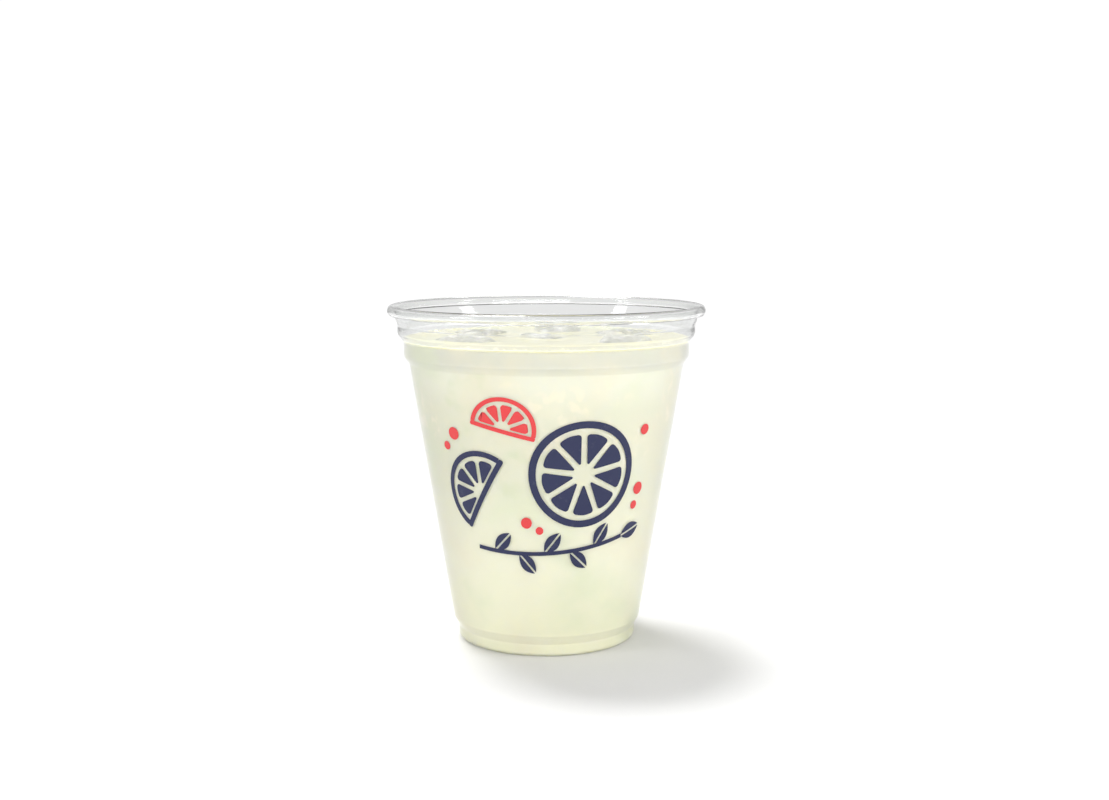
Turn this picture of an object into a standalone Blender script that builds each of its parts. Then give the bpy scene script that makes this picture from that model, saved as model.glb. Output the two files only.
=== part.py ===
"""A clear cold cup of iced lemonade, in metres, standing on the origin with +Z up.

The cup is one thin moulded wall: a raised base, a foot, a straight taper, a stacking shoulder,
a neck and a rolled rim.  The drink fills it up to the shoulder and is hollowed round the ice
cubes that float in it, whose tips stand a little above the drink.
"""

import math

import bmesh
import bpy
from mathutils import Euler, Vector

MM = 0.001

# The cup's size.
HEIGHT = 104.0 * MM
RIM_RADIUS = 49.0 * MM
FOOT_RADIUS = 27.75 * MM
WALL = 0.5 * MM
HALF_WALL = WALL / 2

# The rolled rim, a curl of the wall that turns over outwards and stops short of the flare.
CURL_HALF_WIDTH = 1.3 * MM
CURL_HALF_HEIGHT = 1.65 * MM
CURL_TURN = math.radians(285)
CURL_STEPS = 9

# The base and the foot that it stands on.
BASE_RISE = 2.4 * MM
BASE_RADIUS = 21.2 * MM
FOOT_INNER_RADIUS = 22.4 * MM
FOOT_TOP = 3.9 * MM
HEEL_RADIUS = 29.25 * MM
HEEL_HEIGHT = 6.7 * MM

# The steps at the top of the taper: a low step, the stacking shoulder, the neck and its flare.
TAPER_TOP_RADIUS = 42.45 * MM
TAPER_TOP = 86.3 * MM
BAND_RADIUS = 44.05 * MM
BAND_BOTTOM = 88.5 * MM
BAND_TOP = 92.9 * MM
NECK_RADIUS = 45.9 * MM
NECK_BOTTOM = 95.3 * MM
NECK_TOP = 97.9 * MM
FLARE_RADIUS = 46.8 * MM
FLARE_TOP = 100.6 * MM

# How the turned shapes are faceted.
SEGMENTS = 56
FILLET_STEPS = 2

# The drink, and the room that it leaves to the cup and the ice.
LEVEL = 93.5 * MM
GAP = 0.3 * MM
CUTTER_GROWTH = 0.38 * MM

# The ice cubes: place across the cup, side lengths, turn about X, Y and Z in degrees,
# and how far the highest point stands above the drink.
ICE_ROUNDING = 2.6 * MM
ICE_ROUNDING_STEPS = 2
ICE_TAPER = 0.9
ICE_CUBES = (
    ((-24.0, -13.0), (18.5, 17.5, 16.5), (8, -6, 24), 2.8),
    ((-20.5, 15.5), (17.0, 18.5, 17.5), (-6, 9, 62), 2.4),
    ((3.5, 25.0), (18.0, 17.0, 17.0), (9, 5, 8), 3.0),
    ((24.0, 11.0), (17.5, 18.0, 16.5), (-10, 4, 35), 2.7),
    ((23.0, -14.5), (17.0, 17.0, 18.0), (7, -15, 70), 3.2),
    ((0.0, 1.0), (16.5, 17.5, 16.0), (4, 8, 48), 1.9),
)

CUP_COLOUR = (0.93, 0.95, 0.94)
DRINK_COLOUR = (0.87, 0.86, 0.66)
ICE_COLOUR = (0.90, 0.93, 0.91)


def clear_scene():
    for thing in list(bpy.data.objects):
        bpy.data.objects.remove(thing, do_unlink=True)


def make_material(name, colour, roughness, transmission=0.0, ior=1.45):
    """A plain finish in the sub-part's own colour."""
    material = bpy.data.materials.new(name)
    material.use_nodes = True
    shader = material.node_tree.nodes["Principled BSDF"]
    shader.inputs["Base Color"].default_value = (*colour, 1.0)
    shader.inputs["Roughness"].default_value = roughness
    shader.inputs["Metallic"].default_value = 0.0
    shader.inputs["Transmission Weight"].default_value = transmission
    shader.inputs["IOR"].default_value = ior
    return material


def add_object(name, bm, material):
    """Turn a bmesh into a named, smooth shaded object."""
    mesh = bpy.data.meshes.new(name)
    bm.to_mesh(mesh)
    bm.free()
    mesh.shade_smooth()
    mesh.set_sharp_from_angle(angle=math.radians(35))
    thing = bpy.data.objects.new(name, mesh)
    thing.data.materials.append(material)
    bpy.context.scene.collection.objects.link(thing)
    return thing


def rounded_corner(before, corner, after, radius, steps):
    """Points of the arc that rounds one corner of a path."""
    to_before = (before - corner).normalized()
    to_after = (after - corner).normalized()
    half_angle = to_before.angle(to_after) / 2
    reach = radius / math.tan(half_angle)
    centre = corner + (to_before + to_after).normalized() * radius / math.sin(half_angle)
    start = corner + to_before * reach - centre
    end = corner + to_after * reach - centre
    sweep = start.angle(end)
    return [
        centre + start * (math.sin((1 - i / steps) * sweep) / math.sin(sweep))
        + end * (math.sin(i / steps * sweep) / math.sin(sweep))
        for i in range(steps + 1)
    ]


def wall_corners():
    """Corners of the middle of the wall as (radius, height, rounding), from the base outwards."""
    return (
        (0.0, BASE_RISE + HALF_WALL, 0.0),
        (BASE_RADIUS, BASE_RISE + HALF_WALL, 0.9 * MM),
        (FOOT_INNER_RADIUS, HALF_WALL, 0.8 * MM),
        (FOOT_RADIUS - HALF_WALL, HALF_WALL, 1.2 * MM),
        (FOOT_RADIUS - HALF_WALL, FOOT_TOP, 0.8 * MM),
        (HEEL_RADIUS - HALF_WALL, HEEL_HEIGHT, 1.2 * MM),
        (TAPER_TOP_RADIUS - HALF_WALL, TAPER_TOP, 1.2 * MM),
        (BAND_RADIUS - HALF_WALL, BAND_BOTTOM, 1.2 * MM),
        (BAND_RADIUS - HALF_WALL, BAND_TOP, 1.0 * MM),
        (NECK_RADIUS - HALF_WALL, NECK_BOTTOM, 1.2 * MM),
        (NECK_RADIUS - HALF_WALL, NECK_TOP, 1.5 * MM),
        (FLARE_RADIUS - HALF_WALL, FLARE_TOP, 0.0),
    )


def curl_points():
    """The rim's curl, from the top of the flare over the outside to its free edge."""
    across = CURL_HALF_WIDTH - HALF_WALL
    up = CURL_HALF_HEIGHT - HALF_WALL
    centre = Vector((RIM_RADIUS - CURL_HALF_WIDTH, HEIGHT - CURL_HALF_HEIGHT))
    angles = [math.pi - CURL_TURN * i / CURL_STEPS for i in range(CURL_STEPS + 1)]
    return [centre + Vector((math.cos(a) * across, math.sin(a) * up)) for a in angles]


def wall_path():
    """The middle of the wall, from the axis to the free edge of the rim."""
    corners = wall_corners()
    places = [Vector(corner[:2]) for corner in corners]
    points = [places[0]]
    for i in range(1, len(corners) - 1):
        rounding = corners[i][2]
        points += rounded_corner(places[i - 1], places[i], places[i + 1], rounding, FILLET_STEPS)
    return points + [places[-1]] + curl_points()


def offset_path(points, distance):
    """The path moved sideways, to its left; its first point stays on the axis."""
    moved = []
    for i, point in enumerate(points):
        before = points[max(i - 1, 0)]
        after = points[min(i + 1, len(points) - 1)]
        arriving = (point - before).normalized() if i else (after - point).normalized()
        leaving = (after - point).normalized() if point != after else arriving
        along = (arriving + leaving).normalized()
        stretch = 1 / max(along.dot(leaving), 0.5)
        moved.append(point + Vector((-along.y, along.x)) * distance * stretch)
    moved[0].x = 0.0
    return moved


def cut_at_height(points, height):
    """The part of a rising path below a height, ending at that height."""
    kept = [points[0]]
    for before, after in zip(points, points[1:]):
        if after.y >= height:
            share = (height - before.y) / (after.y - before.y)
            return kept + [before.lerp(after, share)]
        kept.append(after)
    return kept


def turn(outline):
    """Turn an outline that starts and ends on the Z axis into a closed body."""
    bm = bmesh.new()
    verts = [bm.verts.new((p.x, 0.0, p.y)) for p in outline]
    edges = [bm.edges.new(pair) for pair in zip(verts, verts[1:])]
    bmesh.ops.spin(
        bm,
        geom=verts + edges,
        cent=(0, 0, 0),
        axis=(0, 0, 1),
        angle=math.tau,
        steps=SEGMENTS,
        use_merge=True,
    )
    bmesh.ops.remove_doubles(bm, verts=bm.verts, dist=0.001 * MM)
    bmesh.ops.recalc_face_normals(bm, faces=bm.faces)
    return bm


def make_cup():
    path = wall_path()
    outside = offset_path(path, -HALF_WALL)
    inside = offset_path(path, HALF_WALL)
    material = make_material("clear_plastic", CUP_COLOUR, 0.06, transmission=1.0, ior=1.57)
    return add_object("cup", turn(outside + inside[::-1]), material)


def ice_mesh(place, sides, turns, tip):
    """One ice cube, narrower at its top, tipped over and floating at its height."""
    bm = bmesh.new()
    bmesh.ops.create_cube(bm, size=1.0)
    for vert in bm.verts:
        narrow = ICE_TAPER if vert.co.z > 0 else 1.0
        vert.co = Vector((
            vert.co.x * sides[0] * MM * narrow,
            vert.co.y * sides[1] * MM * narrow,
            vert.co.z * sides[2] * MM,
        ))
    bmesh.ops.bevel(
        bm,
        geom=list(bm.edges),
        offset=ICE_ROUNDING,
        offset_type="OFFSET",
        affect="EDGES",
        segments=ICE_ROUNDING_STEPS,
        profile=0.5,
        material=-1,
    )
    tilt = Euler([math.radians(t) for t in turns]).to_matrix()
    bmesh.ops.rotate(bm, verts=bm.verts, cent=(0, 0, 0), matrix=tilt)
    highest = max(vert.co.z for vert in bm.verts)
    middle = Vector((place[0] * MM, place[1] * MM, LEVEL + tip * MM - highest))
    bmesh.ops.translate(bm, verts=bm.verts, vec=middle)
    bm.normal_update()
    return bm


def make_ice():
    material = make_material("ice", ICE_COLOUR, 0.12, transmission=0.8, ior=1.31)
    return [
        add_object(f"ice_{number}", ice_mesh(*cube), material)
        for number, cube in enumerate(ICE_CUBES, start=1)
    ]


def make_cutter(number, cube):
    """The ice cube grown all round, which leaves the gap that the drink keeps to it."""
    bm = ice_mesh(*cube)
    for vert in bm.verts:
        vert.co += vert.normal * CUTTER_GROWTH
    bm.normal_update()
    mesh = bpy.data.meshes.new(f"hollow_{number}")
    bm.to_mesh(mesh)
    bm.free()
    cutter = bpy.data.objects.new(mesh.name, mesh)
    cutter.hide_render = True
    cutter.display_type = "WIRE"
    bpy.context.scene.collection.objects.link(cutter)
    return cutter


def make_lemonade():
    path = offset_path(wall_path(), HALF_WALL + GAP)
    side = cut_at_height(path, LEVEL)
    material = make_material("lemonade", DRINK_COLOUR, 0.15)
    drink = add_object("lemonade", turn(side + [Vector((0.0, LEVEL))]), material)
    for number, cube in enumerate(ICE_CUBES, start=1):
        hollow = drink.modifiers.new(f"hollow_{number}", "BOOLEAN")
        hollow.operation = "DIFFERENCE"
        hollow.solver = "EXACT"
        hollow.object = make_cutter(number, cube)
    return drink


def main():
    clear_scene()
    make_cup()
    make_ice()
    make_lemonade()


main()
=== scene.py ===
"""The looks of a clear cold cup of cloudy iced lemonade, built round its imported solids."""

import math
import random

import bmesh
import bpy
from mathutils import Euler, Matrix, Vector, noise
from mathutils.bvhtree import BVHTree


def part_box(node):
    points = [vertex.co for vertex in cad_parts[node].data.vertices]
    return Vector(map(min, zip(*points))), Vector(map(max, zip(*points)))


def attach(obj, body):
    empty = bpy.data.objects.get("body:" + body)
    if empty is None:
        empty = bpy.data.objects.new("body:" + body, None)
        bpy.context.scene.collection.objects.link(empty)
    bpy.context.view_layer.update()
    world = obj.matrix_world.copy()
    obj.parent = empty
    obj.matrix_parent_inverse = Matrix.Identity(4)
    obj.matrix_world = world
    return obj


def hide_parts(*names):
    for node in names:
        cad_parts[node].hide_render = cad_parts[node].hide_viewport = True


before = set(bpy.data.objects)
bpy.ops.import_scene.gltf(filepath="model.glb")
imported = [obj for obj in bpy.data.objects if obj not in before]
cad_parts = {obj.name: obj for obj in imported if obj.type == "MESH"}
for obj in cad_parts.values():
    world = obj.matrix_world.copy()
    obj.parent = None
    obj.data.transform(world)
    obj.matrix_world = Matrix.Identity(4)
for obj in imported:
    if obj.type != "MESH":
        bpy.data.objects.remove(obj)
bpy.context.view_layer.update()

MM = 0.001
BODY = "root"

# The cup, sized as its solid is; only the curl of its rim turns less far.
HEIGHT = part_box("cup")[1][2]
RIM_RADIUS = 49.0 * MM
FOOT_RADIUS = 27.75 * MM
WALL = 0.5 * MM
HALF_WALL = WALL / 2
CURL_HALF_WIDTH = 1.3 * MM
CURL_HALF_HEIGHT = 1.65 * MM
CURL_TURN = math.radians(240)
BASE_RISE = 2.4 * MM
BASE_RADIUS = 21.2 * MM
FOOT_INNER_RADIUS = 22.4 * MM
FOOT_TOP = 3.9 * MM
HEEL_RADIUS = 29.25 * MM
HEEL_HEIGHT = 6.7 * MM
TAPER_TOP_RADIUS = 42.45 * MM
TAPER_TOP = 86.3 * MM
BAND_RADIUS = 44.05 * MM
BAND_BOTTOM = 88.5 * MM
BAND_TOP = 92.9 * MM
NECK_RADIUS = 45.9 * MM
NECK_BOTTOM = 95.3 * MM
NECK_TOP = 97.9 * MM
FLARE_RADIUS = 46.8 * MM
FLARE_TOP = 100.6 * MM

# How finely the turned pieces are made.
SEGMENTS = 208
FILLET_STEPS = 6
CURL_STEPS = 26
MERGE_DISTANCE = 0.001 * MM

# The drink: its level, how far it reaches into the wall, and how its surface rises at the wall.
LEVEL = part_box("lemonade")[1][2]
REACH_INTO_WALL = 0.2 * MM
EDGE_RISE = 0.2 * MM
EDGE_FADE = 0.75 * MM
EDGE_ZONE = 4 * EDGE_FADE
EDGE_RINGS = 6
SURFACE_RING = 0.9 * MM
SURFACE_SLACK = 0.05 * MM
DRINK_SHARP = 50

# How the drink's surface rises at the ice, within a reach of it and clear of the wall.
ICE_EDGE_RISE = 0.35 * MM
ICE_EDGE_FADE = 1.2 * MM
ICE_EDGE_REACH = 4 * MM
WALL_MARGIN = 2 * MM

# The ice that floats at the surface, and how far it has melted uneven.
ICE_NODES = sorted(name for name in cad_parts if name.startswith("ice_"))
ICE_VOXEL = 0.6 * MM
ICE_MELT = 0.35 * MM
ICE_MELT_SIZE = 7.0 * MM
ICE_MEAN_MELT = 0.4
FINE_MELT = 0.3
FINE_MELT_SIZE = ICE_MELT_SIZE / 3
OWN_SHIFT = 7.3

# How far the drink reaches into the ice, how it pales near it, and how much painted light goes on the
# walls of the ice's hollows against the shade in them.
REACH_INTO_ICE = 0.15 * MM
PALE_FADE = 1.3 * MM
PALE_REACH = 8 * MM
PALE_SURFACE = 0.35
HOLLOW_PAINTED_LIGHT = 1.0

# Small bubbles along the drink's edge.
BUBBLE_COUNT = 46
BUBBLE_RADII = (0.25 * MM, 0.75 * MM)
BUBBLE_SPREAD = 0.8 * MM
BUBBLE_INSET = 0.2 * MM
BUBBLE_LIFT = 0.2

# The printed pattern, wrapped on the taper.
PRINT_LIFT = 0.02 * MM
PRINT_THICKNESS = 0.06 * MM
PRINT_STRIP = 1.2 * MM
PRINT_MIDDLE = 54.0 * MM

# A printed fruit slice, as shares of its radius, and the roundings of its segments.
RIND_SHARE = 0.13
PULP_SHARE = 0.76
HUB_SHARE = 0.17
GAP_SHARE = 0.1
RIND_STEPS = 56
TIP_ROUNDING = 0.35 * MM
CORNER_ROUNDING = 0.9 * MM
BACK_ROUNDING = 6 * MM
BACK_BULGE = 1.03
BAR_ROUNDING_SHARE = 0.35
ROUNDING_STEPS = 4

# The printed sprig and berries.
STEM_STEPS = 24
STEM_WIDTH = 1.2 * MM
LEAF_STEPS = 10
LEAF_VEIN = 0.6 * MM
LEAF_FULLNESS = 0.85
LEAF_SIZE = (7.5 * MM, 3.8 * MM)
LEAF_TURN = math.radians(48)
LEAF_OFFSET = 0.3 * MM
LEAF_PLACES = range(3, 22, 4)
END_LEAF_SIZE = (8 * MM, 4.2 * MM)
END_LEAF_ANGLE = math.radians(18)
BERRY_STEPS = 24

# Wear of the printed ink: how far it greys, and to which grey.
INK_WEAR = 0.25
WORN_GREY = 0.35

# The floor, a hair below the foot.
FLOOR_RADIUS = 1.1
FLOOR_SEGMENTS = 96
FLOOR_DROP = 0.02 * MM

# The lights: a soft key from far away, and boxes, each with place, width, height and power.
KEY_DIRECTION = Vector((-0.25, 0.38, 0.98))
KEY_SPREAD = math.radians(21)
KEY_STRENGTH = 2.2
LIGHT_AIM = Vector((0, 0, 55 * MM))
LIGHT_BOXES = (
    ("right_box", (0.78, -0.28, 0.42), 0.18, 0.26, 1.2),
    ("left_box", (-0.78, -0.36, 0.42), 0.18, 0.26, 1.2),
    ("front_box", (0.3, -1.2, 0.30), 1.5, 0.12, 4.4),
)

# The photograph's camera and its frame.
PHOTO_WIDTH = 1109
SENSOR_WIDTH = 36.0
FOCAL_PIXELS = 1456
CAMERA_PLACE = Vector((2.5 * MM, -450 * MM, 132.4 * MM))
CAMERA_TILT = math.radians(7.38)


class Wire:
    """A socket of a node tree that works in arithmetic; each operation adds its Math node."""

    def __init__(self, tree, socket=None):
        self.tree = tree
        self.socket = socket

    def node(self, kind, settings=None, inputs=None, output=0):
        """Add any node: its settings first, then the values or links of its sockets."""
        made = self.tree.nodes.new(kind)
        for name, value in (settings or {}).items():
            if name == "stops":
                set_stops(made.color_ramp, value)
            else:
                setattr(made, name, value)
        for name, value in (inputs or {}).items():
            if isinstance(value, Wire):
                self.tree.links.new(value.socket, made.inputs[name])
            else:
                made.inputs[name].default_value = value
        return Wire(self.tree, made.outputs[output])

    def math(self, operation, first, second=0.0):
        return self.node("ShaderNodeMath", {"operation": operation}, {0: first, 1: second})

    def __add__(self, other):
        return self.math("ADD", self, other)

    def __radd__(self, other):
        return self.math("ADD", other, self)

    def __sub__(self, other):
        return self.math("SUBTRACT", self, other)

    def __rsub__(self, other):
        return self.math("SUBTRACT", other, self)

    def __mul__(self, other):
        return self.math("MULTIPLY", self, other)

    def __rmul__(self, other):
        return self.math("MULTIPLY", other, self)

    def mix(self, other, share):
        """This colour mixed with another by a share from 0 to 1."""
        settings = {"data_type": "RGBA", "blend_type": "MIX"}
        return self.node("ShaderNodeMix", settings, {0: share, 6: self, 7: other}, output=2)

    def smooth(self, low, high):
        """0 below low and 1 above high, with a soft step between."""
        inputs = {"Value": self, "From Min": low, "From Max": high}
        return self.node("ShaderNodeMapRange", {"interpolation_type": "SMOOTHSTEP"}, inputs)


def set_stops(ramp, stops):
    while len(ramp.elements) < len(stops):
        ramp.elements.new(1.0)
    for element, (position, colour) in zip(ramp.elements, stops):
        element.position = position
        element.color = colour


def rgba(red, green, blue):
    """A colour from its 0 to 255 screen values."""
    linear = []
    for value in (red, green, blue):
        share = value / 255
        linear.append(share / 12.92 if share <= 0.04045 else ((share + 0.055) / 1.055) ** 2.4)
    return (*linear, 1.0)


class Finish:
    """A new material with a Principled shader, and the Object coordinates of its piece."""

    def __init__(self, name):
        self.material = bpy.data.materials.new(name)
        self.material.use_nodes = True
        self.tree = self.material.node_tree
        self.tree.nodes.clear()
        self.start = Wire(self.tree)
        self.place = self.start.node("ShaderNodeTexCoord", output=3)

    def noise(self, size, detail=2.0, stretch=(1, 1, 1), roughness=0.5):
        """Soft noise whose patches are about the given size."""
        spread = Vector(stretch) / size
        scaled = self.start.node("ShaderNodeVectorMath", {"operation": "MULTIPLY"},
                                 {0: self.place, 1: spread})
        inputs = {"Vector": scaled, "Scale": 1.0, "Detail": detail, "Roughness": roughness}
        return self.start.node("ShaderNodeTexNoise", None, inputs)

    def height(self):
        return self.start.node("ShaderNodeSeparateXYZ", None, {0: self.place}, output="Z")

    def colour(self, value):
        """A plain colour that can be mixed with others."""
        made = self.start.node("ShaderNodeRGB")
        made.socket.default_value = value
        return made

    def bump(self, height, distance, strength=1.0):
        inputs = {"Height": height, "Distance": distance, "Strength": strength}
        return self.start.node("ShaderNodeBump", None, inputs)

    def principled(self, inputs):
        return self.start.node("ShaderNodeBsdfPrincipled", None, inputs)

    def close(self, shader):
        output = self.tree.nodes.new("ShaderNodeOutputMaterial")
        self.tree.links.new(shader.socket, output.inputs["Surface"])
        return self.material

    def close_clear(self, shader):
        """Close a clear finish so that lamps shine through it."""
        through = self.start.node("ShaderNodeBsdfTransparent")
        is_shadow = self.start.node("ShaderNodeLightPath", output="Is Shadow Ray")
        mixed = self.start.node("ShaderNodeMixShader", None, {0: is_shadow, 1: shader, 2: through})
        return self.close(mixed)


def clear_plastic():
    """Thin clear moulded plastic, with the faint waves of its moulding, greyer where seen edge on."""
    finish = Finish("clear_plastic")
    edge_on = finish.start.node("ShaderNodeLayerWeight", None, {"Blend": 0.5}, output="Facing")
    tint = finish.colour((0.985, 0.99, 0.985, 1.0))
    waves = finish.noise(14 * MM, detail=1.0, stretch=(1, 1, 0.5))
    ripple = finish.noise(4 * MM, detail=2.0, stretch=(1, 1, 2.5))
    grey = 1.0 - finish.height().smooth(NECK_TOP, FLARE_TOP) * 0.7
    shader = finish.principled({
        "Base Color": tint.mix((0.72, 0.73, 0.72, 1.0), edge_on.smooth(0.25, 0.95) * grey),
        "Roughness": 0.055,
        "IOR": 1.34,
        "Transmission Weight": 1.0,
        "Normal": finish.bump(waves * 0.8 + ripple * 0.2, 0.12 * MM),
    })
    return finish.close_clear(shader)


def wet_ice():
    """Clear wet ice with a milky heart and fine cracks."""
    finish = Finish("wet_ice")
    heart = finish.noise(6 * MM, detail=3.0)
    cracks = finish.noise(1.6 * MM, detail=4.0, roughness=0.7)
    cloud = heart.smooth(0.45, 0.7)
    surface = finish.bump(heart * 0.7 + cracks * 0.3, 0.3 * MM)
    clear = finish.principled({
        "Base Color": (0.99, 0.985, 0.94, 1.0),
        "Roughness": 0.04 + cracks * 0.16,
        "IOR": 1.31,
        "Transmission Weight": 1.0,
        "Normal": surface,
    })
    milky = finish.principled({
        "Base Color": (0.98, 0.97, 0.885, 1.0),
        "Roughness": 0.15 + cracks * 0.25,
        "IOR": 1.31,
        "Subsurface Weight": 1.0,
        "Subsurface Radius": (1.0, 1.0, 0.9),
        "Subsurface Scale": 5 * MM,
        "Normal": surface,
    })
    share = 0.4 + cloud * 0.4
    return finish.close_clear(
        finish.start.node("ShaderNodeMixShader", None, {0: share, 1: clear, 2: milky}))


def clear_bubble():
    """A thin skin of drink round air."""
    finish = Finish("clear_bubble")
    tint = finish.noise(3 * MM)
    shader = finish.principled({
        "Base Color": (0.97, 0.97, 0.93, 1.0),
        "Roughness": 0.02 + tint * 0.06,
        "IOR": 1.2,
        "Transmission Weight": 0.9,
    })
    return finish.close_clear(shader)


# Ice sunk in the drink near the wall, which shows as soft patches through the cloudy drink.
SUNK_INSET = 8.6 * MM
SUNK_ROUNDING = 2.5 * MM
SUNK_WOBBLE = 2.4 * MM
SUNK_FADE = (-1.2 * MM, 1.6 * MM)

# Azimuth from the front to the right, height and side in mm, tilt, and whether it shows pale.
SUNK_ICE = (
    (-35, 83.0, 15, (10, 8, 5), False),
    (-12, 85.0, 13, (-14, 6, 20), True),
    (6, 74.0, 19, (12, -8, -10), True),
    (29, 84.0, 14, (-8, 14, 12), True),
    (-8, 58.0, 16, (18, 10, 8), False),
    (34, 66.0, 17, (-12, -14, 25), True),
    (-34, 64.0, 17, (6, 16, -15), False),
    (66, 79.0, 17, (9, 10, 30), True),
    (-66, 75.0, 18, (-9, 12, 10), True),
    (96, 72.0, 18, (15, -5, 12), True),
    (-96, 80.0, 17, (-6, -12, 4), False),
    (128, 79.0, 18, (10, 10, 18), True),
    (-128, 70.0, 18, (12, -14, 26), True),
    (160, 74.0, 17, (-12, 8, 6), False),
    (-160, 81.0, 18, (8, 12, 14), True),
    (180, 57.0, 18, (14, -10, 20), True),
)


def taper_radius(height):
    """The outer radius of the straight taper at a height."""
    share = (height - HEEL_HEIGHT) / (TAPER_TOP - HEEL_HEIGHT)
    return HEEL_RADIUS + (TAPER_TOP_RADIUS - HEEL_RADIUS) * share


def on_cup(azimuth, radius, height):
    """A place at an azimuth, in radians from the front towards the right."""
    return Vector((radius * math.sin(azimuth), -radius * math.cos(azimuth), height))


def sunk_ice_distance(finish, azimuth, height, side, tilt):
    """How far each point of the drink's skin is from one sunk cube."""
    angle = math.radians(azimuth)
    height = height * MM
    middle = on_cup(angle, taper_radius(height) - SUNK_INSET, height)
    turn = Matrix.Rotation(angle, 3, "Z") @ Euler([math.radians(t) for t in tilt]).to_matrix()
    local = finish.start.node(
        "ShaderNodeMapping",
        {"vector_type": "TEXTURE"},
        {"Vector": finish.place, "Location": middle, "Rotation": turn.to_euler()},
    )
    half = side / 2 * MM - SUNK_ROUNDING
    folded = finish.start.node("ShaderNodeVectorMath", {"operation": "ABSOLUTE"}, {0: local})
    over = finish.start.node(
        "ShaderNodeVectorMath", {"operation": "SUBTRACT"}, {0: folded, 1: (half, half, half)})
    outside = finish.start.node(
        "ShaderNodeVectorMath", {"operation": "MAXIMUM"}, {0: over, 1: (0, 0, 0)})
    length = finish.start.node(
        "ShaderNodeVectorMath", {"operation": "LENGTH"}, {0: outside}, output="Value")
    return length - SUNK_ROUNDING


def sunk_ice_masks(finish):
    """Soft masks of the pale and the dark sunk cubes."""
    wobble = (finish.noise(5 * MM, detail=3.0) - 0.5) * SUNK_WOBBLE
    masks = {True: None, False: None}
    for azimuth, height, side, tilt, pale in SUNK_ICE:
        distance = sunk_ice_distance(finish, azimuth, height, side, tilt) + wobble
        mask = 1.0 - distance.smooth(*SUNK_FADE)
        masks[pale] = mask if masks[pale] is None else mask.math("MAXIMUM", masks[pale], mask)
    return masks[True], masks[False]


# The drink's colours from its surface down. The band is painted darker, as painted shade against the
# brighter light it catches; the heel and the bottom are painted lighter, as painted light against the
# shade that falls on them.
DRINK_SURFACE = rgba(229, 226, 192)
# Painted shade: the band is darker than the drink round it, to take back the light it catches.
DRINK_BAND_PAINTED_SHADE = rgba(223, 223, 211)
DRINK_TOP = rgba(238, 238, 223)
DRINK_UPPER = rgba(231, 231, 213)
DRINK_MIDDLE = rgba(241, 240, 221)
# Painted light: the heel and the bottom are lighter, to take back the shade on the step and near the
# floor.
DRINK_HEEL_PAINTED_LIGHT = rgba(246, 244, 222)
DRINK_BOTTOM_PAINTED_LIGHT = rgba(242, 241, 217)

# Where on the drink's height, as a share of its level, each colour lies.
DRINK_STOPS_WITH_PAINTED_LIGHT = (
    (0.03, DRINK_BOTTOM_PAINTED_LIGHT), (0.045, DRINK_HEEL_PAINTED_LIGHT), (0.065, DRINK_HEEL_PAINTED_LIGHT), (0.08, DRINK_BOTTOM_PAINTED_LIGHT),
    (0.3, DRINK_MIDDLE), (0.6, DRINK_UPPER), (0.8, DRINK_UPPER), (0.89, DRINK_TOP),
    (0.925, DRINK_TOP), (0.95, DRINK_BAND_PAINTED_SHADE), (0.994, DRINK_BAND_PAINTED_SHADE), (0.9995, DRINK_SURFACE),
)

# The colours of its clouds, of the sunk ice that shows through with painted glints on it, and of the
# drink at the ice, which is also painted light on the walls of the ice's hollows.
DRINK_GREEN = rgba(228, 233, 208)
DRINK_CREAM = rgba(238, 233, 213)
SUNK_PALE = rgba(241, 237, 218)
SUNK_DARK = rgba(219, 225, 198)
# Painted glints: small light flecks on the pale sunk ice.
SUNK_PAINTED_GLINT = rgba(249, 242, 223)
# Pale near the ice at the surface, and painted light on the walls of the hollows, where shade falls
# in them.
DRINK_PALE_AND_HOLLOW_LIGHT = rgba(250, 250, 238)


def cloudy_lemonade():
    """Cloudy drink, whose colour changes with height, with sunk ice showing through; its height
    colours hold painted shade on the band and painted light on the heel and bottom, the sunk ice has
    painted glints, and the walls of its hollows get painted light.
    """
    finish = Finish("cloudy_lemonade")
    height = finish.height() * (1 / LEVEL)
    # The height colours hold painted shade on the band and painted light on the heel and bottom.
    body = finish.start.node("ShaderNodeValToRGB", {"stops": DRINK_STOPS_WITH_PAINTED_LIGHT}, {0: height})
    clouds = finish.noise(24 * MM, detail=3.0)
    patches = finish.noise(9 * MM, detail=2.0)
    flecks = finish.noise(3.6 * MM, detail=1.0)
    body = body.mix(DRINK_GREEN, clouds.smooth(0.5, 0.72) * 0.6)
    body = body.mix(DRINK_CREAM, (1.0 - clouds).smooth(0.5, 0.72) * 0.6)
    pale, dark = sunk_ice_masks(finish)
    body = body.mix(SUNK_PALE, pale * patches.smooth(0.35, 0.6) * 0.4)
    body = body.mix(SUNK_DARK, dark * (1.0 - patches).smooth(0.4, 0.6) * 0.8)
    # Painted glints: small light flecks over the pale sunk ice.
    painted_glint = flecks.smooth(0.5, 0.66) * pale
    body = body.mix(SUNK_PAINTED_GLINT, painted_glint * 0.5)
    # The pale ring at the ice, and the painted light on the walls of the hollows.
    near_ice = finish.start.node("ShaderNodeAttribute", {"attribute_name": "near_ice"}, output="Fac")
    body = body.mix(DRINK_PALE_AND_HOLLOW_LIGHT, near_ice * 0.9)
    shader = finish.principled({
        "Base Color": body,
        "Roughness": 0.12 + flecks * 0.08,
        "IOR": 1.34,
        "Specular IOR Level": 0.35,
        "Subsurface Weight": 1.0,
        "Subsurface Radius": (1.0, 0.96, 0.8),
        "Subsurface Scale": 0.6 * MM,
    })
    return finish.close(shader)


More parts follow.
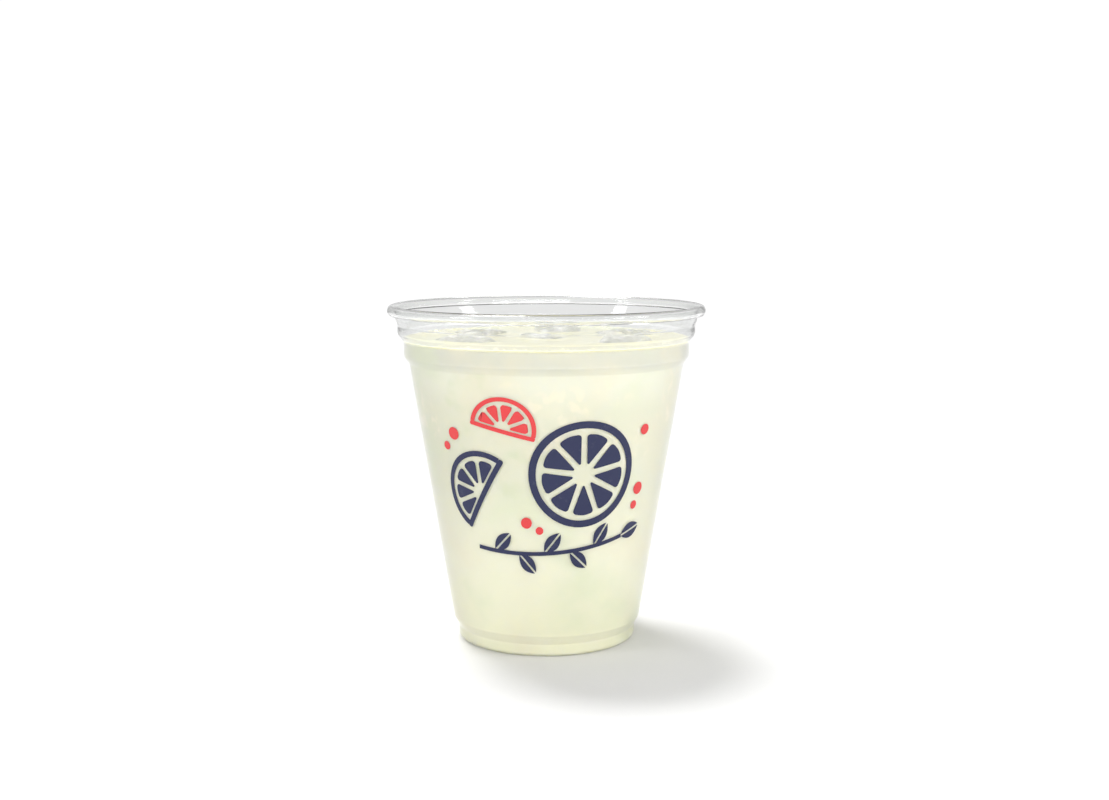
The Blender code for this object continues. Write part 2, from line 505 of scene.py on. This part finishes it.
def printed_ink(name, colour):
    """Flat screen-printed ink with slightly uneven cover."""
    finish = Finish(name)
    cover = finish.noise(2.2 * MM, detail=4.0, roughness=0.65)
    grain = finish.noise(0.35 * MM, detail=2.0)
    worn = [(1 - INK_WEAR) * part + INK_WEAR * WORN_GREY for part in colour[:3]]
    shader = finish.principled({
        "Base Color": finish.colour(colour).mix((*worn, 1.0), cover.smooth(0.55, 0.8) * 0.4),
        "Roughness": 0.4 + cover * 0.16,
        "Specular IOR Level": 0.2,
        "Normal": finish.bump(grain, 0.02 * MM, strength=0.6),
    })
    return finish.close(shader)


def white_floor():
    """The studio's plain white floor."""
    finish = Finish("white_floor")
    grain = finish.noise(40 * MM)
    shader = finish.principled({
        "Base Color": (0.96, 0.96, 0.96, 1.0),
        "Roughness": 0.8 + grain * 0.1,
        "Specular IOR Level": 0.2,
    })
    return finish.close(shader)


def add_piece(name, bm, material, sharp, replaced=()):
    """Turn a bmesh into a piece on the cup's body; edges past an angle in degrees stay sharp."""
    mesh = bpy.data.meshes.new(name)
    bm.to_mesh(mesh)
    bm.free()
    mesh.shade_smooth()
    mesh.set_sharp_from_angle(angle=math.radians(sharp))
    mesh.materials.append(material)
    piece = bpy.data.objects.new(name, mesh)
    bpy.context.scene.collection.objects.link(piece)
    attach(piece, BODY)
    if replaced:
        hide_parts(*replaced)
    return piece


def rounded_corner(before, corner, after, radius, steps):
    """Points of the arc that rounds one corner of a path."""
    to_before = (before - corner).normalized()
    to_after = (after - corner).normalized()
    half_angle = to_before.angle(to_after) / 2
    reach = radius / math.tan(half_angle)
    centre = corner + (to_before + to_after).normalized() * radius / math.sin(half_angle)
    start = corner + to_before * reach - centre
    end = corner + to_after * reach - centre
    sweep = start.angle(end)
    return [
        centre + start * (math.sin((1 - i / steps) * sweep) / math.sin(sweep))
        + end * (math.sin(i / steps * sweep) / math.sin(sweep))
        for i in range(steps + 1)
    ]


def wall_corners():
    """Corners of the middle of the wall as (radius, height, rounding), from the base outwards."""
    return (
        (0.0, BASE_RISE + HALF_WALL, 0.0),
        (BASE_RADIUS, BASE_RISE + HALF_WALL, 0.9 * MM),
        (FOOT_INNER_RADIUS, HALF_WALL, 0.8 * MM),
        (FOOT_RADIUS - HALF_WALL, HALF_WALL, 1.2 * MM),
        (FOOT_RADIUS - HALF_WALL, FOOT_TOP, 0.8 * MM),
        (HEEL_RADIUS - HALF_WALL, HEEL_HEIGHT, 1.2 * MM),
        (TAPER_TOP_RADIUS - HALF_WALL, TAPER_TOP, 1.2 * MM),
        (BAND_RADIUS - HALF_WALL, BAND_BOTTOM, 1.2 * MM),
        (BAND_RADIUS - HALF_WALL, BAND_TOP, 1.0 * MM),
        (NECK_RADIUS - HALF_WALL, NECK_BOTTOM, 1.2 * MM),
        (NECK_RADIUS - HALF_WALL, NECK_TOP, 1.5 * MM),
        (FLARE_RADIUS - HALF_WALL, FLARE_TOP, 0.0),
    )


def curl_points():
    """The rim's curl, from the top of the flare over the outside to its free edge."""
    across = CURL_HALF_WIDTH - HALF_WALL
    up = CURL_HALF_HEIGHT - HALF_WALL
    centre = Vector((RIM_RADIUS - CURL_HALF_WIDTH, HEIGHT - CURL_HALF_HEIGHT))
    angles = [math.pi - CURL_TURN * i / CURL_STEPS for i in range(CURL_STEPS + 1)]
    return [centre + Vector((math.cos(a) * across, math.sin(a) * up)) for a in angles]


def wall_path():
    """The middle of the wall, from the axis to the free edge of the rim."""
    corners = wall_corners()
    places = [Vector(corner[:2]) for corner in corners]
    points = [places[0]]
    for i in range(1, len(corners) - 1):
        rounding = corners[i][2]
        points += rounded_corner(places[i - 1], places[i], places[i + 1], rounding, FILLET_STEPS)
    return points + [places[-1]] + curl_points()


def offset_path(points, distance):
    """The path moved sideways, to its left; its first point stays on the axis."""
    moved = []
    for i, point in enumerate(points):
        before = points[max(i - 1, 0)]
        after = points[min(i + 1, len(points) - 1)]
        arriving = (point - before).normalized() if i else (after - point).normalized()
        leaving = (after - point).normalized() if point != after else arriving
        along = (arriving + leaving).normalized()
        stretch = 1 / max(along.dot(leaving), 0.5)
        moved.append(point + Vector((-along.y, along.x)) * distance * stretch)
    moved[0].x = 0.0
    return moved


def cut_at_height(points, height):
    """The part of a rising path below a height, ending at that height."""
    kept = [points[0]]
    for before, after in zip(points, points[1:]):
        if after.y >= height:
            share = (height - before.y) / (after.y - before.y)
            return kept + [before.lerp(after, share)]
        kept.append(after)
    return kept


def turn(outline):
    """Turn an outline that starts and ends on the Z axis into a closed body."""
    bm = bmesh.new()
    verts = [bm.verts.new((p.x, 0.0, p.y)) for p in outline]
    edges = [bm.edges.new(pair) for pair in zip(verts, verts[1:])]
    bmesh.ops.spin(bm, geom=verts + edges, cent=(0, 0, 0), axis=(0, 0, 1),
                   angle=math.tau, steps=SEGMENTS, use_merge=True)
    bmesh.ops.remove_doubles(bm, verts=bm.verts, dist=MERGE_DISTANCE)
    bmesh.ops.recalc_face_normals(bm, faces=bm.faces)
    return bm


def make_cup():
    path = wall_path()
    outline = offset_path(path, -HALF_WALL) + offset_path(path, HALF_WALL)[::-1]
    cup = turn(outline)
    add_piece("clear_cup", cup, clear_plastic(), sharp=60, replaced=["cup"])


def own_shift(name):
    """A different, fixed shift of the noise for each numbered piece."""
    return Vector((OWN_SHIFT * int(name.split("_")[-1]), 0, 0))


def ice_bmesh(name):
    """The floating cube's solid as fine, even faces, with its surface melted uneven."""
    source = bmesh.new()
    source.from_mesh(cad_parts[name].data)
    bmesh.ops.remove_doubles(source, verts=source.verts, dist=MERGE_DISTANCE)
    mesh = bpy.data.meshes.new("fine_ice")
    source.to_mesh(mesh)
    source.free()
    helper = bpy.data.objects.new("fine_ice", mesh)
    bpy.context.scene.collection.objects.link(helper)
    remesh = helper.modifiers.new("even", "REMESH")
    remesh.mode = "VOXEL"
    remesh.voxel_size = ICE_VOXEL
    fine = bmesh.new()
    fine.from_object(helper, bpy.context.evaluated_depsgraph_get())
    bpy.data.objects.remove(helper, do_unlink=True)
    bmesh.ops.smooth_vert(fine, verts=fine.verts, factor=0.5,
                          use_axis_x=True, use_axis_y=True, use_axis_z=True)
    fine.normal_update()
    shift = own_shift(name)
    for vert in fine.verts:
        swell = noise.noise(vert.co / ICE_MELT_SIZE + shift)
        fine_swell = noise.noise(vert.co / FINE_MELT_SIZE + shift)
        vert.co += vert.normal * (swell + FINE_MELT * fine_swell - ICE_MEAN_MELT) * ICE_MELT
    return fine


def make_ice():
    material = wet_ice()
    return [
        add_piece(f"floating_{name}", ice_bmesh(name), material, sharp=80, replaced=[name])
        for name in ICE_NODES
    ]


def surface_point(edge, inward):
    """A point of the drink's surface at a distance in from its edge, where it rises."""
    return Vector((edge - inward, LEVEL + EDGE_RISE * math.exp(-inward / EDGE_FADE)))


def drink_outline():
    """The drink's side, reaching into the wall, its raised edge, and its flat surface."""
    path = offset_path(wall_path(), HALF_WALL - REACH_INTO_WALL)
    side = cut_at_height(path, LEVEL + EDGE_RISE)
    edge = side[-1].x
    surface = [
        surface_point(edge, EDGE_ZONE * (i / EDGE_RINGS) ** 1.5)
        for i in range(1, EDGE_RINGS + 1)
    ]
    start = surface[-1].x
    rings = int(edge / SURFACE_RING)
    surface += [surface_point(edge, edge - start * (1 - i / rings)) for i in range(1, rings)]
    return side + surface + [Vector((0.0, LEVEL))]


def ice_trees(cubes):
    """Search trees that find the nearest place on each floating cube."""
    graph = bpy.context.evaluated_depsgraph_get()
    return [BVHTree.FromObject(cube, graph) for cube in cubes]


def distance_to_ice(trees, place, reach):
    """How far a place is from the nearest ice, or None where none is within reach."""
    near = [tree.find_nearest(place, reach)[3] for tree in trees]
    return min((distance for distance in near if distance is not None), default=None)


def on_surface(place):
    """Whether a place of the drink lies at its surface, not below."""
    return place.z > LEVEL - SURFACE_SLACK


def raise_edges_at_ice(bm, trees):
    """Draw the drink's surface up a little where it wets the ice."""
    for vert in bm.verts:
        if not on_surface(vert.co) or vert.co.xy.length > BAND_RADIUS - WALL_MARGIN:
            continue
        distance = distance_to_ice(trees, vert.co, ICE_EDGE_REACH)
        if distance is not None:
            vert.co.z += ICE_EDGE_RISE * math.exp(-distance / ICE_EDGE_FADE)


def shrunken_copy(cube):
    """A helper a little smaller than a cube, so that the drink cut by it reaches into the ice."""
    bm = bmesh.new()
    bm.from_mesh(cube.data)
    bm.normal_update()
    for vert in bm.verts:
        vert.co -= vert.normal * REACH_INTO_ICE
    mesh = bpy.data.meshes.new("hollow")
    bm.to_mesh(mesh)
    bm.free()
    helper = bpy.data.objects.new("hollow", mesh)
    bpy.context.scene.collection.objects.link(helper)
    return helper


def mark_near_ice_and_hollow_light(mesh, trees):
    """Note on the drink how near its surface is to the ice, and mark the walls of the hollows for
    painted light against the shade in them.
    """
    mark = mesh.attributes.new("near_ice", "FLOAT", "POINT")
    for vert in mesh.vertices:
        distance = distance_to_ice(trees, vert.co, PALE_REACH)
        if distance is None:
            continue
        if on_surface(vert.co):
            mark.data[vert.index].value = PALE_SURFACE * math.exp(-distance / PALE_FADE)
        # Painted light: the walls of the hollows are marked to be painted lighter against their
        # shade.
        elif distance < 2 * REACH_INTO_ICE:
            mark.data[vert.index].value = HOLLOW_PAINTED_LIGHT


def cut_hollows(drink, cubes):
    """Cut the hollows in which the floating cubes lie, and keep the result as the drink's mesh."""
    helpers = [shrunken_copy(cube) for cube in cubes]
    for helper in helpers:
        hollow = drink.modifiers.new(helper.name, "BOOLEAN")
        hollow.operation = "DIFFERENCE"
        hollow.solver = "EXACT"
        hollow.object = helper
    graph = bpy.context.evaluated_depsgraph_get()
    finished = bpy.data.meshes.new_from_object(drink.evaluated_get(graph))
    drink.modifiers.clear()
    drink.data = finished
    finished.name = "cloudy_drink"
    finished.shade_smooth()
    finished.set_sharp_from_angle(angle=math.radians(DRINK_SHARP))
    for helper in helpers:
        bpy.data.objects.remove(helper, do_unlink=True)


def make_drink(cubes):
    trees = ice_trees(cubes)
    bm = turn(drink_outline())
    raise_edges_at_ice(bm, trees)
    drink = add_piece("cloudy_drink", bm, cloudy_lemonade(),
                      sharp=DRINK_SHARP, replaced=["lemonade"])
    cut_hollows(drink, cubes)
    mark_near_ice_and_hollow_light(drink.data, trees)


def polar(centre, radius, angle):
    """The place at a radius and an angle from a centre."""
    return centre + Vector((math.cos(angle), math.sin(angle))) * radius


def add_shape(bm, points):
    """Add a flat closed shape, given as points across and up, to the unrolled print."""
    bm.faces.new([bm.verts.new((p.x, 0.0, p.y)) for p in points])


def rounded_shape(corners):
    """A closed outline whose corners, given as (point, rounding), are rounded."""
    points = []
    count = len(corners)
    for i, (corner, rounding) in enumerate(corners):
        before = corners[i - 1][0]
        after = corners[(i + 1) % count][0]
        points += rounded_corner(before, corner, after, rounding, ROUNDING_STEPS)
    return points


def add_rind(bm, centre, inner, outer, start, sweep):
    """The rind of a fruit slice: a flat ring or a part of one."""
    first = polar(centre, inner, start)
    second = polar(centre, outer, start)
    verts = [bm.verts.new((p.x, 0.0, p.y)) for p in (first, second)]
    edge = bm.edges.new(verts)
    steps = round(sweep / math.tau * RIND_STEPS)
    bmesh.ops.spin(bm, geom=verts + [edge], cent=(centre.x, 0, centre.y), axis=(0, -1, 0),
                   angle=sweep, steps=steps, use_merge=sweep == math.tau)


def add_segment(bm, centre, inner, outer, middle, half_angle, gap):
    """One juicy segment of a fruit slice, as a rounded wedge."""
    side = math.asin(gap / 2 / outer)
    corners = [
        (polar(centre, inner, middle), TIP_ROUNDING),
        (polar(centre, outer, middle - half_angle + side), CORNER_ROUNDING),
        (polar(centre, outer * BACK_BULGE, middle), BACK_ROUNDING),
        (polar(centre, outer, middle + half_angle - side), CORNER_ROUNDING),
    ]
    add_shape(bm, rounded_shape(corners))


def add_bar(bm, start, end, width):
    """A straight bar with rounded corners, on the left of the line from start to end."""
    along = (end - start).normalized()
    aside = Vector((-along.y, along.x)) * width
    corners = (start + aside, start, end, end + aside)
    rounding = width * BAR_ROUNDING_SHARE
    add_shape(bm, rounded_shape([(corner, rounding) for corner in corners]))


def add_slice(bm, centre, radius, segments, start, sweep):
    """A whole or half slice of citrus fruit; a half has a bar of rind along its cut."""
    rind = RIND_SHARE * radius
    hub = HUB_SHARE * radius
    pulp = PULP_SHARE * radius
    gap = GAP_SHARE * radius
    add_rind(bm, centre, radius - rind, radius, start, sweep)
    step = sweep / segments
    for i in range(segments):
        middle = start + step * (i + 0.5)
        add_segment(bm, centre, hub, pulp, middle, step / 2, gap)
    if sweep < math.tau:
        add_bar(bm, polar(centre, radius, start), polar(centre, radius, start + sweep), rind)


def leaf_half(base, angle, length, width, side):
    """One half of a leaf, beside its bare mid vein."""
    along = Vector((math.cos(angle), math.sin(angle)))
    aside = Vector((-along.y, along.x)) * side
    edge = []
    for i in range(LEAF_STEPS + 1):
        share = i / LEAF_STEPS
        swell = math.sin(math.pi * share) ** LEAF_FULLNESS
        edge.append(base + along * length * share + aside * (LEAF_VEIN / 2 + width / 2 * swell))
    return edge


def add_leaf(bm, base, angle, length, width):
    for side in (1, -1):
        add_shape(bm, leaf_half(base, angle, length, width, side))


def add_stem(bm, points, width):
    """A curved stroke through points."""
    left = []
    right = []
    for i, point in enumerate(points):
        along = (points[min(i + 1, len(points) - 1)] - points[max(i - 1, 0)]).normalized()
        aside = Vector((-along.y, along.x)) * width / 2
        left.append(point + aside)
        right.append(point - aside)
    add_shape(bm, left + right[::-1])


def curved(start, bend, end, steps):
    """Points of a smooth curve from start to end, pulled towards bend."""
    return [
        start * (1 - t) ** 2 + bend * 2 * t * (1 - t) + end * t ** 2
        for t in (i / steps for i in range(steps + 1))
    ]


def wrap_print(bm, turn_angle):
    """Cut the flat print into strips and wrap it on the cup's taper."""
    left = min(vert.co.x for vert in bm.verts)
    right = max(vert.co.x for vert in bm.verts)
    for i in range(1, int((right - left) / PRINT_STRIP) + 1):
        place = left + i * PRINT_STRIP
        bmesh.ops.bisect_plane(bm, geom=bm.verts[:] + bm.edges[:] + bm.faces[:],
                               dist=MERGE_DISTANCE, plane_co=(place, 0, 0), plane_no=(1, 0, 0))
    middle_radius = taper_radius(PRINT_MIDDLE)
    for vert in bm.verts:
        radius = taper_radius(vert.co.z) + PRINT_LIFT
        vert.co = on_cup(vert.co.x / middle_radius + turn_angle, radius, vert.co.z)
    bmesh.ops.recalc_face_normals(bm, faces=bm.faces)
    for face in bm.faces:
        if face.normal.xy.dot(face.calc_center_median().xy) < 0:
            face.normal_flip()
    bmesh.ops.solidify(bm, geom=bm.faces[:], thickness=-PRINT_THICKNESS)
    bmesh.ops.recalc_face_normals(bm, faces=bm.faces)


def at(across, up):
    """A place on the unrolled print, in millimetres across from its middle and up the cup."""
    return Vector((across, up)) * MM


def add_sprig(bm):
    """A curved stem with leaves on its two sides in turn, and one at its end."""
    stem = curved(at(-23, 34), at(2, 31), at(26, 37), STEM_STEPS)
    add_stem(bm, stem, STEM_WIDTH)
    side = 1
    for i in LEAF_PLACES:
        ahead = stem[i + 1] - stem[i]
        angle = math.atan2(ahead.y, ahead.x)
        base = stem[i] + Vector((-ahead.y, ahead.x)).normalized() * LEAF_OFFSET * side
        add_leaf(bm, base, angle + side * LEAF_TURN, *LEAF_SIZE)
        side = -side
    add_leaf(bm, stem[-1], END_LEAF_ANGLE, *END_LEAF_SIZE)


def draw_navy(bm):
    """A whole slice, a half slice and a sprig of leaves."""
    add_slice(bm, at(11, 57), 16 * MM, 9, math.radians(12), math.tau)
    add_slice(bm, at(-20, 51), 12.5 * MM, 5, math.radians(58), math.pi)
    add_sprig(bm)


def draw_red(bm):
    """A small half slice and a scatter of berries."""
    add_slice(bm, at(-12, 70.5), 9.5 * MM, 5, math.radians(-14), math.pi)
    berries = (
        (-28, 68, 1.9), (-31.5, 64, 1.3), (31, 51, 1.9), (30, 46, 1.3), (30.5, 69, 1.6),
        (-6, 42.5, 1.7), (-2, 40.2, 1.2),
    )
    turns = [math.tau * i / BERRY_STEPS for i in range(BERRY_STEPS)]
    for across, up, radius in berries:
        add_shape(bm, [polar(at(across, up), radius * MM, angle) for angle in turns])


def make_print():
    """The pattern in its two inks, on the cup's front and again on its back."""
    inks = (
        ("navy", draw_navy, rgba(52, 56, 86)),
        ("red", draw_red, rgba(224, 74, 76)),
    )
    for colour_name, draw, colour in inks:
        material = printed_ink(f"{colour_name}_ink", colour)
        for side, angle in (("front", 0.0), ("back", math.pi)):
            bm = bmesh.new()
            draw(bm)
            wrap_print(bm, angle)
            name = f"{colour_name}_fruit_{side}"
            add_piece(name, bm, material, sharp=30)


def make_bubbles():
    """Small bubbles that gather where the drink meets the cup."""
    draw = random.Random(12)
    bm = bmesh.new()
    edge = BAND_RADIUS - WALL - BUBBLE_INSET
    for _ in range(BUBBLE_COUNT):
        radius = draw.uniform(*BUBBLE_RADII)
        angle = draw.uniform(0, math.tau)
        out = edge - radius - abs(draw.gauss(0, BUBBLE_SPREAD))
        made = bmesh.ops.create_icosphere(bm, subdivisions=2, radius=radius)
        place = on_cup(angle, out, LEVEL + EDGE_RISE / 4 + radius * BUBBLE_LIFT)
        bmesh.ops.translate(bm, verts=made["verts"], vec=place)
    add_piece("surface_bubbles", bm, clear_bubble(), sharp=80)


def make_floor():
    bm = bmesh.new()
    bmesh.ops.create_circle(bm, cap_ends=True, segments=FLOOR_SEGMENTS, radius=FLOOR_RADIUS)
    bmesh.ops.translate(bm, verts=bm.verts, vec=(0, 0, -FLOOR_DROP))
    mesh = bpy.data.meshes.new("floor")
    bm.to_mesh(mesh)
    bm.free()
    mesh.materials.append(white_floor())
    floor = bpy.data.objects.new("floor", mesh)
    bpy.context.scene.collection.objects.link(floor)


def add_key_light():
    """A soft key light from far away, so that the whole floor is lit alike."""
    lamp = bpy.data.lights.new("key", "SUN")
    lamp.energy = KEY_STRENGTH
    lamp.angle = KEY_SPREAD
    thing = bpy.data.objects.new("key", lamp)
    thing.rotation_euler = (-KEY_DIRECTION).to_track_quat("-Z", "Y").to_euler()
    bpy.context.scene.collection.objects.link(thing)


def add_light_box(name, place, width, height, power):
    """A rectangular light aimed at the cup."""
    lamp = bpy.data.lights.new(name, "AREA")
    lamp.shape = "RECTANGLE"
    lamp.size = width
    lamp.size_y = height
    lamp.energy = power
    thing = bpy.data.objects.new(name, lamp)
    thing.location = place
    thing.rotation_euler = (LIGHT_AIM - Vector(place)).to_track_quat("-Z", "Y").to_euler()
    bpy.context.scene.collection.objects.link(thing)


def make_world():
    """White to the camera, and a softer sky to light and to be mirrored in the cup."""
    world = bpy.data.worlds.new("studio")
    world.use_nodes = True
    tree = world.node_tree
    tree.nodes.clear()
    start = Wire(tree)
    direction = start.node("ShaderNodeTexCoord", output=0)
    up = start.node("ShaderNodeSeparateXYZ", None, {0: direction}, output="Z")
    across = start.node("ShaderNodeSeparateXYZ", None, {0: direction}, output="X")
    aside = across.math("ABSOLUTE", across).smooth(0.15, 0.5)
    low = 1.0 - up.smooth(0.15, 0.45)
    glow = 0.82 - up.smooth(0.0, 0.65) * 0.4 - aside * low * 0.28
    sky = start.node("ShaderNodeBackground", None, {"Color": (1, 1, 1, 1), "Strength": glow})
    backdrop = start.node("ShaderNodeBackground", None, {"Color": (1, 1, 1, 1), "Strength": 1.05})
    seen = start.node("ShaderNodeLightPath", output="Is Camera Ray")
    mixed = start.node("ShaderNodeMixShader", None, {0: seen, 1: sky, 2: backdrop})
    output = tree.nodes.new("ShaderNodeOutputWorld")
    tree.links.new(mixed.socket, output.inputs["Surface"])
    bpy.context.scene.world = world


def make_light():
    add_key_light()
    for box in LIGHT_BOXES:
        add_light_box(*box)


def make_camera():
    lens = bpy.data.cameras.new("photo_camera")
    lens.sensor_width = SENSOR_WIDTH
    lens.lens = SENSOR_WIDTH * FOCAL_PIXELS / PHOTO_WIDTH
    lens.clip_start = 0.01
    camera = bpy.data.objects.new("photo_camera", lens)
    camera.location = CAMERA_PLACE
    camera.rotation_euler = (math.pi / 2 - CAMERA_TILT, 0, 0)
    bpy.context.scene.collection.objects.link(camera)
    bpy.context.scene.camera = camera


make_camera()
make_world()
make_light()
make_floor()
make_cup()
floating = make_ice()
make_drink(floating)
make_print()
make_bubbles()
bpy.context.scene.view_settings.view_transform = "Standard"
